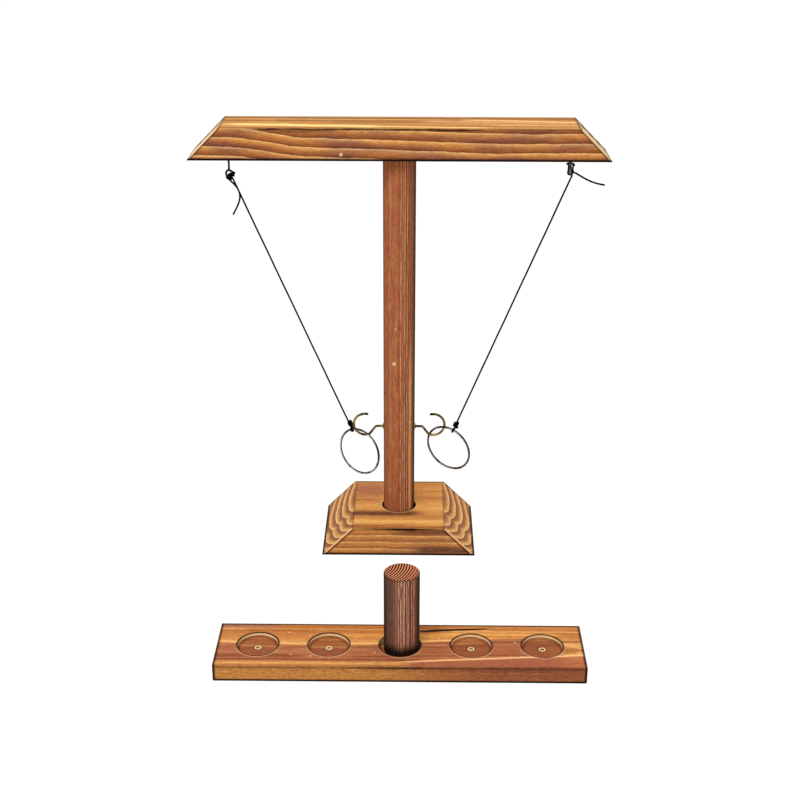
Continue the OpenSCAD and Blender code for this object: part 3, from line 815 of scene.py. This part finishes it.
def screw_eye(side_name, material):
    """A screw eye: thread, shank, and a loop that bends round to the shank."""
    drop = EYE_DROP[side_name]
    turn = math.radians(EYE_TURN[side_name])
    lean = math.radians(EYE_LEAN)
    radius = EYE_WIRE / 2
    ridges = thread(EYE_THREAD - THREAD_TIP, turns=9, pitch=-1.1, core=0.8, ridge=1.2)
    wire = [(0, z, size) for z, size in ridges]
    wire.append((0, -0.5, radius))
    loop_start = math.radians(90 - EYE_LEAN)
    run = EYE_LOOP * math.cos(loop_start) - EYE_BEND * (1 - math.cos(lean))
    top = EYE_LOOP * math.sin(loop_start) - drop + EYE_BEND * math.sin(lean) + run / math.tan(lean)
    for k in range(7):
        angle = lean * k / 6
        wire.append((EYE_BEND * (1 - math.cos(angle)), top - EYE_BEND * math.sin(angle), radius))
    for k in range(41):
        angle = loop_start - math.radians(EYE_SWEEP) * k / 40
        wire.append((EYE_LOOP * math.cos(angle), EYE_LOOP * math.sin(angle) - drop, radius))
    line = [(SIDES[side_name] * EYE_SPREAD + across * math.cos(turn), across * math.sin(turn),
             BAR_UNDERSIDE + rise) for across, rise, _ in wire]
    return tube("screw_eye_" + side_name + "_wire", line, [size for _, _, size in wire], 20, material)


def ring_frame(side_name):
    """A ring's centre, and the two directions in its plane that its angles are read from."""
    low, high = box_mm("ring_" + side_name)
    centre = (low + high) / 2
    bearing = math.radians(RING_BEARING[side_name])
    lift = math.radians(RING_LIFT[side_name])
    facing = Vector((math.cos(bearing), math.sin(bearing), 0))
    across = Vector((-facing.y, facing.x, 0))
    return centre, across, Vector((0, 0, math.cos(lift))) - facing * math.sin(lift)


def toss_ring(side_name, material):
    """A closed ring of round wire."""
    centre, across, up = ring_frame(side_name)
    angles = [2 * math.pi * i / RING_CUTS for i in range(RING_CUTS)]
    line = [centre + RING_RADIUS * (across * math.sin(angle) + up * math.cos(angle)) for angle in angles]
    return tube("toss_ring_" + side_name, line, [RING_WIRE / 2] * RING_CUTS, 20, material, True)


def smooth_line(points, cuts):
    """Points of a smooth curve through the given ones."""
    points = [Vector(p) for p in points]
    last = len(points) - 1
    out = []
    for i in range(last):
        a, b, c, d = points[max(i - 1, 0)], points[i], points[i + 1], points[min(i + 2, last)]
        for k in range(cuts):
            t = k / cuts
            out.append(b + 0.5 * t * (c - a + t * (2 * a - 5 * b + 4 * c - d + t * (3 * (b - c) + d - a))))
    return out + [points[last]]


def winding(centre, axis, start, radius, rise, turns, steps=20):
    """Points of string wound round an axis: start is a direction square to it."""
    axis = Vector(axis).normalized()
    first = Vector(start) - Vector(start).dot(axis) * axis
    first.normalize()
    second = axis.cross(first)
    total = int(abs(turns) * steps)
    out = []
    for i in range(total + 1):
        angle = 2 * math.pi * turns * i / total
        out.append(Vector(centre) + axis * rise * i / total
                   + radius * (first * math.cos(angle) + second * math.sin(angle)))
    return out


# The string, laid by geometry nodes: twisted strands along a curve

def string_tree():
    """Geometry nodes that lay twisted strands of string along a curve."""
    tree = bpy.data.node_groups.new("twisted_string", "GeometryNodeTree")
    for name, kind, value in (("Geometry", "NodeSocketGeometry", None),
                              ("Thickness", "NodeSocketFloat", STRING * MM),
                              ("Strands", "NodeSocketFloat", 3.0),
                              ("Groove", "NodeSocketFloat", 0.04),
                              ("Lay", "NodeSocketFloat", LAY * MM),
                              ("Step", "NodeSocketFloat", 0.3 * MM),
                              ("Material", "NodeSocketMaterial", None)):
        socket = tree.interface.new_socket(name, in_out="INPUT", socket_type=kind)
        if value is not None:
            socket.default_value = value
    tree.interface.new_socket("Geometry", in_out="OUTPUT", socket_type="NodeSocketGeometry")

    def add(kind, settings, values):
        return add_node(tree, kind, settings, values).outputs

    def maths(operation, first, second=0.0):
        return add("ShaderNodeMath", {"operation": operation}, {0: first, 1: second})[0]

    given = add("NodeGroupInput", {}, {})
    spaced = add("GeometryNodeResampleCurve", {"mode": "LENGTH"},
                 {"Curve": given["Geometry"], "Length": given["Step"]})[0]
    walked = add("GeometryNodeSplineParameter", {}, {})["Length"]
    tilt = maths("MULTIPLY", maths("DIVIDE", walked, given["Lay"]), 2 * math.pi)
    twisted = add("GeometryNodeSetCurveTilt", {}, {"Curve": spaced, "Tilt": tilt})[0]
    circle = add("GeometryNodeCurvePrimitiveCircle", {"mode": "RADIUS"},
                 {"Resolution": 18, "Radius": maths("MULTIPLY", given["Thickness"], 0.5)})[0]
    place = add("GeometryNodeInputPosition", {}, {})[0]
    parts = add("ShaderNodeSeparateXYZ", {}, {0: place})
    angle = maths("MULTIPLY", maths("ARCTAN2", parts["Y"], parts["X"]), given["Strands"])
    dip = maths("MULTIPLY", maths("SUBTRACT", 1.0, maths("COSINE", angle)), given["Groove"])
    lobed = add("ShaderNodeVectorMath", {"operation": "SCALE"},
                {0: place, "Scale": maths("SUBTRACT", 1.0, dip)})[0]
    profile = add("GeometryNodeSetPosition", {}, {"Geometry": circle, "Position": lobed})[0]
    swept = add("GeometryNodeCurveToMesh", {},
                {"Curve": twisted, "Profile Curve": profile, "Fill Caps": True})[0]
    rounded = add("GeometryNodeSetShadeSmooth", {}, {"Geometry": swept})[0]
    plain = add("GeometryNodeRealizeInstances", {}, {"Geometry": rounded})[0]
    painted = add("GeometryNodeSetMaterial", {}, {"Geometry": plain, "Material": given["Material"]})[0]
    add("NodeGroupOutput", {}, {0: painted})
    return tree


def lay_string(name, runs, tree, material, closed=False):
    """String along one or more runs of points in millimetres, as one plain mesh."""
    curve = bpy.data.curves.new(name + "_route", "CURVE")
    curve.dimensions = "3D"
    lay = LAY
    for run in runs:
        spline = curve.splines.new("POLY")
        spline.points.add(len(run) - 1)
        spline.use_cyclic_u = closed
        for point, place in zip(spline.points, run):
            point.co = (*(Vector(place) * MM), 1)
        if closed:
            around = sum((Vector(run[i]) - Vector(run[i - 1])).length for i in range(len(run)))
            lay = around / max(1, round(around / lay))
    route = add_object(name + "_route", curve)
    modifier = route.modifiers.new("string", "NODES")
    modifier.node_group = tree
    wanted = {"Thickness": STRING * STRAND_SWELL * MM, "Lay": lay * MM, "Material": material}
    for item in tree.interface.items_tree:
        if item.in_out == "INPUT" and item.name in wanted:
            modifier[item.identifier] = wanted[item.name]
    graph = bpy.context.evaluated_depsgraph_get()
    graph.update()
    mesh = bpy.data.meshes.new_from_object(route.evaluated_get(graph))
    bpy.data.objects.remove(route)
    mesh.name = name
    return add_object(name, mesh)


def knot_place(side_name):
    """Where a ring's knot sits on its wire, the way of the wire there, and the ring's up."""
    centre, across, up = ring_frame(side_name)
    angle = math.radians(KNOT_ANGLE[side_name])
    place = centre + RING_RADIUS * (across * math.sin(angle) + up * math.cos(angle))
    return place, across * math.cos(angle) - up * math.sin(angle), up


def ring_knot_runs(side_name):
    """The knot above a ring: turns wound round the string, and its cut end."""
    start, _, _ = knot_place(side_name)
    top = Vector(CORD_POINTS[side_name][0])
    ahead = (top - start).normalized()
    turn_radius = STRING / 2 + KNOT_SWELL
    first = (RING_WIRE + STRING) / 2 + TURN_GAP + STRING / 2 + SWING_GAP + turn_radius
    side_way = ahead.cross(Vector((0, -1, 0))).normalized()
    low_end = side_name == "right"
    shift = side_way * (0 if low_end else 0.7)
    lowest = start + ahead * (first - 0.5) + shift
    wound = winding(lowest, ahead, (0, -1, 0), radius=1.5, rise=4.4, turns=3.5)
    core = [start + ahead * (first - 0.75), start + ahead * (first + 1.5), start + ahead * (first + 4.8)]
    place = start + ahead * (first + (0.2 if low_end else 3.8))
    stub = [place + side_way * 0.9, place + side_way * 1.9 + Vector((0, -0.5, 0)),
            place + side_way * 2.7 + Vector((0, -0.7, -0.3))]
    return [wound, core, smooth_line(stub, 4)]


def ring_loop_run(side_name):
    """The loop of string round a ring's wire."""
    start, along, up = knot_place(side_name)
    radius = (RING_WIRE + STRING) / 2 + TURN_GAP
    return winding(start, along, up, radius, rise=0, turns=1, steps=32)[:-1]


def round_bundle(centre, across, half_width, half_height, lean, turns, drift, steps=24):
    """Oval turns of string, each a little further along the way they are looked through."""
    through = Vector((-across.y, across.x, 0))
    total = int(turns * steps)
    out = []
    for i in range(total + 1):
        angle = 2 * math.pi * turns * i / total
        side = half_width * math.cos(angle)
        rise = half_height * math.sin(angle) + side * lean
        depth = drift * (i / total - 0.5)
        out.append(centre + across * side + through * depth + Vector((0, 0, rise)))
    return out


def eye_knot_left_runs():
    """Turns round the bottom and right of the eye, bound across at its foot."""
    eye = Vector((-EYE_SPREAD, 0, BAR_UNDERSIDE - EYE_DROP["left"]))
    turn = math.radians(EYE_TURN["left"])
    across = Vector((math.cos(turn), math.sin(turn), 0))
    through = Vector((-across.y, across.x, 0))
    radius = (EYE_WIRE + STRING) / 2 + TURN_GAP
    wound = []
    steps = 66
    for i in range(steps + 1):
        angle = math.radians(KNOT_FROM + KNOT_SWEEP * i / steps)
        wire = eye + EYE_LOOP * (math.sin(angle) * across - Vector((0, 0, math.cos(angle))))
        outward = (wire - eye).normalized()
        spin = 2 * math.pi * KNOT_TURNS * i / steps
        wound.append(wire + radius * (outward * math.cos(spin) + through * math.sin(spin)))
    low = eye - across * 0.4 - Vector((0, 0, EYE_LOOP + 1.3))
    binding = round_bundle(low, across, half_width=1.7, half_height=0.7, lean=-0.5, turns=2.1, drift=2.4)
    return [wound, binding]


def eye_knot_right_runs():
    """Turns round the bottom of the eye, and strands that pass behind its shank."""
    eye = Vector((EYE_SPREAD, 0, BAR_UNDERSIDE - EYE_DROP["right"]))
    turns = round_bundle(eye - Vector((0, 0, 2.1)), Vector((1, 0, 0)), half_width=1.8, half_height=1.5,
                         lean=0.1, turns=2.6, drift=2.2)

    def strand(*points):
        return smooth_line([eye + Vector(p) for p in points], 5)

    behind = strand((-3.2, -0.9, 4.3), (-2.4, -0.3, 4.8), (-1.5, 0.7, 4.8), (0, 1.7, 4.6), (1.5, 0.8, 4.4),
                    (1.8, -0.3, 3.4), (1.6, -0.9, 1.4), (1.7, -1, -0.6), (1.6, -0.9, -2.2))
    left = strand((-1.7, -0.1, 4.6), (-1.6, -0.8, 3), (-1.7, -1, 0.8), (-1.6, -1, -1.2), (-0.9, -1, -2.9))
    bulge = strand((1.7, 0.2, 4.9), (2.4, -0.5, 4), (2.7, -0.8, 3))
    return [turns, behind, left, bulge]


# Stage and light

def white_where_seen(tree, light, white):
    """Mixes a shader that lights the object with a white one that is only seen."""
    path = add_node(tree, "ShaderNodeLightPath", {}, {}).outputs
    total = path["Is Camera Ray"]
    for name in ("Is Glossy Ray", "Is Transmission Ray"):
        total = add_node(tree, "ShaderNodeMath", {"operation": "ADD", "use_clamp": True},
                         {0: total, 1: path[name]}).outputs[0]
    return add_node(tree, "ShaderNodeMixShader", {}, {0: total, 1: light, 2: white}).outputs[0]


def make_world():
    world = bpy.data.worlds.new("studio")
    bpy.context.scene.world = world
    world.use_nodes = True
    tree = world.node_tree
    tree.nodes.remove(tree.nodes["Background"])
    soft, white = [add_node(tree, "ShaderNodeBackground", {}, {"Color": (1, 1, 1, 1), "Strength": level})
                   .outputs[0] for level in (LIGHT_ALL_ROUND, 1.0)]
    out = tree.nodes["World Output"]
    tree.links.new(white_where_seen(tree, soft, white), out.inputs["Surface"])


def aim(place, target):
    """The turn that makes something at a place face a target."""
    return (Vector(target) - Vector(place)).to_track_quat("-Z", "Y")


def add_sheet(name, place, turn, half_width, half_height, material):
    """A flat sheet, turned and placed."""
    corners = [turn @ Vector((x * half_width, y * half_height, 0)) + Vector(place)
               for x, y in ((-1, -1), (1, -1), (1, 1), (-1, 1))]
    mesh = bpy.data.meshes.new(name)
    mesh.from_pydata(corners, [], [(0, 1, 2, 3)])
    mesh.materials.append(material)
    return add_object(name, mesh)


def make_floor():
    """A white table top that keeps a little of the object's shadow."""
    paint = bpy.data.materials.new("white_table")
    paint.use_nodes = True
    tree = paint.node_tree
    tree.nodes.remove(tree.nodes["Principled BSDF"])
    plain = add_node(tree, "ShaderNodeBsdfDiffuse", {}, {"Color": (TABLE_GREY,) * 3 + (1,)}).outputs[0]
    glow = add_node(tree, "ShaderNodeEmission", {}, {"Strength": TABLE_GLOW}).outputs[0]
    seen = add_node(tree, "ShaderNodeMixShader", {}, {0: TABLE_GLOW_SHARE, 1: plain, 2: glow}).outputs[0]
    out = tree.nodes["Material Output"]
    tree.links.new(white_where_seen(tree, plain, seen), out.inputs["Surface"])
    place = (0, 0, -TABLE_DROP)
    add_sheet("table_top", place, Matrix.Identity(3), TABLE_HALF, TABLE_HALF, paint)


def make_lamp(name, place, size, power):
    data = bpy.data.lights.new(name, "AREA")
    data.shape = "RECTANGLE"
    data.size = size[0]
    data.size_y = size[1]
    data.energy = power
    lamp = add_object(name, data)
    lamp.location = place
    lamp.rotation_mode = "QUATERNION"
    lamp.rotation_quaternion = aim(place, LAMP_AIM)


def make_card(name, place, width, height):
    """A black card that only shows as a dark line in polished metal."""
    black = Paint(name + "_black").use(Base_Color=(0.01, 0.01, 0.01, 1), Specular_IOR_Level=0)
    card = add_sheet(name, place, aim(place, CARD_AIM), width / 2, height / 2, black)
    card.visible_camera = False
    card.visible_diffuse = False
    card.visible_shadow = False


# The object

def stand_in(piece, node, body):
    """Puts a finished piece in the place of its CAD node, on the node's body."""
    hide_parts(node)
    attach(piece, body)


make_camera()

wood_of = {"base": base_wood(), "crossbar": bar_wood(), "post": post_wood(),
           "score_board": board_wood(), "score_peg": peg_wood()}
hook_end = way_points(HOOK_WAY)[-1]
# Each metal's bright and dark colours are those of its painted reflection and shade
brass = metal("polished_brass", "bca054", "1a1102", roughness=0.16, centre=(0, 0, 0), axis=(0, 1, 0),
              half=HOOK_WIRE / 2, tip=(POST_RADIUS + hook_end[0], HOOK_HEIGHT + hook_end[1]))
steel = metal("bright_steel", "b9babd", "8b8c90", roughness=0.3, centre=(0, 0, 0), axis=(1, 0, 0), half=2)
nickel = {}
zinc = {}
for side_name in SIDES:
    ring_centre, ring_across, ring_up = ring_frame(side_name)
    nickel[side_name] = metal("nickel_plate_" + side_name, "ccc3b2", "0a0704", roughness=0.14,
                              centre=ring_centre, axis=ring_across.cross(ring_up), half=RING_WIRE / 2)
    zinc[side_name] = metal("zinc_plate_" + side_name, ZINC_SHADED_AND_LIT[side_name], "0e0f11", roughness=0.3,
                            centre=(0, 0, 0), axis=(0, 1, 0), half=EYE_WIRE / 2)
waxed = string_paint()

for node, (name, body, slot, round_over, rim_share) in {
        "base": ("base_plank", "tower", "pine_base", 0.7, 0.4),
        "crossbar": ("crossbar_plank", "tower", "pine_bar", 0.6, 0.4),
        "post": ("post_dowel", "tower", "dowel_wood", 0.3, 1.0),
        "score_board": ("score_board_plank", "board", "pine_board", 0.6, 0.4),
        "score_peg": ("score_peg_dowel", "peg", "peg_wood", 0.3, 1.0)}.items():
    stand_in(wooden_piece(node, name, wood_of[node], round_over, rim_share), node, body)

for side_name in SIDES:
    stand_in(cup_hook(side_name, brass), "cup_hook_" + side_name, "tower")
    stand_in(screw_eye(side_name, zinc[side_name]), "screw_eye_" + side_name, "tower")
    ring = "ring_" + side_name
    stand_in(toss_ring(side_name, nickel[side_name]), ring, ring)

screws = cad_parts["dowel_screws"]
screws.data.materials.clear()
screws.data.materials.append(steel)

laid = string_tree()
for side_name in SIDES:
    knot = lay_string("ring_knot_" + side_name + "_turns", ring_knot_runs(side_name), laid, waxed)
    stand_in(knot, "ring_knot_" + side_name, "tower")
    loop = lay_string("ring_loop_" + side_name + "_string", [ring_loop_run(side_name)], laid, waxed, True)
    stand_in(loop, "ring_loop_" + side_name, "ring_" + side_name)

for side_name, runs in (("left", eye_knot_left_runs()), ("right", eye_knot_right_runs())):
    knot = lay_string("eye_knot_" + side_name + "_turns", runs, laid, waxed)
    stand_in(knot, "eye_knot_" + side_name, "tower")

for kind, routes, far_end, lay, stiffness in (
        ("cord", CORD_POINTS, "knot", "taut", "limp"),
        ("cord_tail", TAIL_POINTS, "bare", "hanging", "medium")):
    for side_name in SIDES:
        path = smooth_line(routes[side_name], 6)
        node = kind + "_" + side_name
        piece = lay_string(node + "_string", [path], laid, waxed)
        stand_in(piece, node, "tower")
        length = sum((path[i] - path[i - 1]).length for i in range(1, len(path)))
        knots = ["ring_knot_" + side_name + "_turns"] if kind == "cord" else []
        tuple(path[0] * MM)
        [tuple(p * MM) for p in path]

make_world()
make_floor()
make_lamp("key", (-0.5, -1.3, 1.7), (1.2, 0.9), 25)
make_lamp("top", (0.2, 0.3, 1.9), (1.4, 1.0), 12)
make_card("dark_front", (0, -1.9, 0.15), 2.2, 0.8)
make_card("dark_left", (-1.5, -0.5, 0.4), 0.9, 1.6)
make_card("dark_right", (1.5, -0.5, 0.4), 0.9, 1.6)
make_card("dark_above", (0, 0.4, 1.6), 0.5, 0.3)

bpy.context.scene.view_settings.view_transform = "Standard"
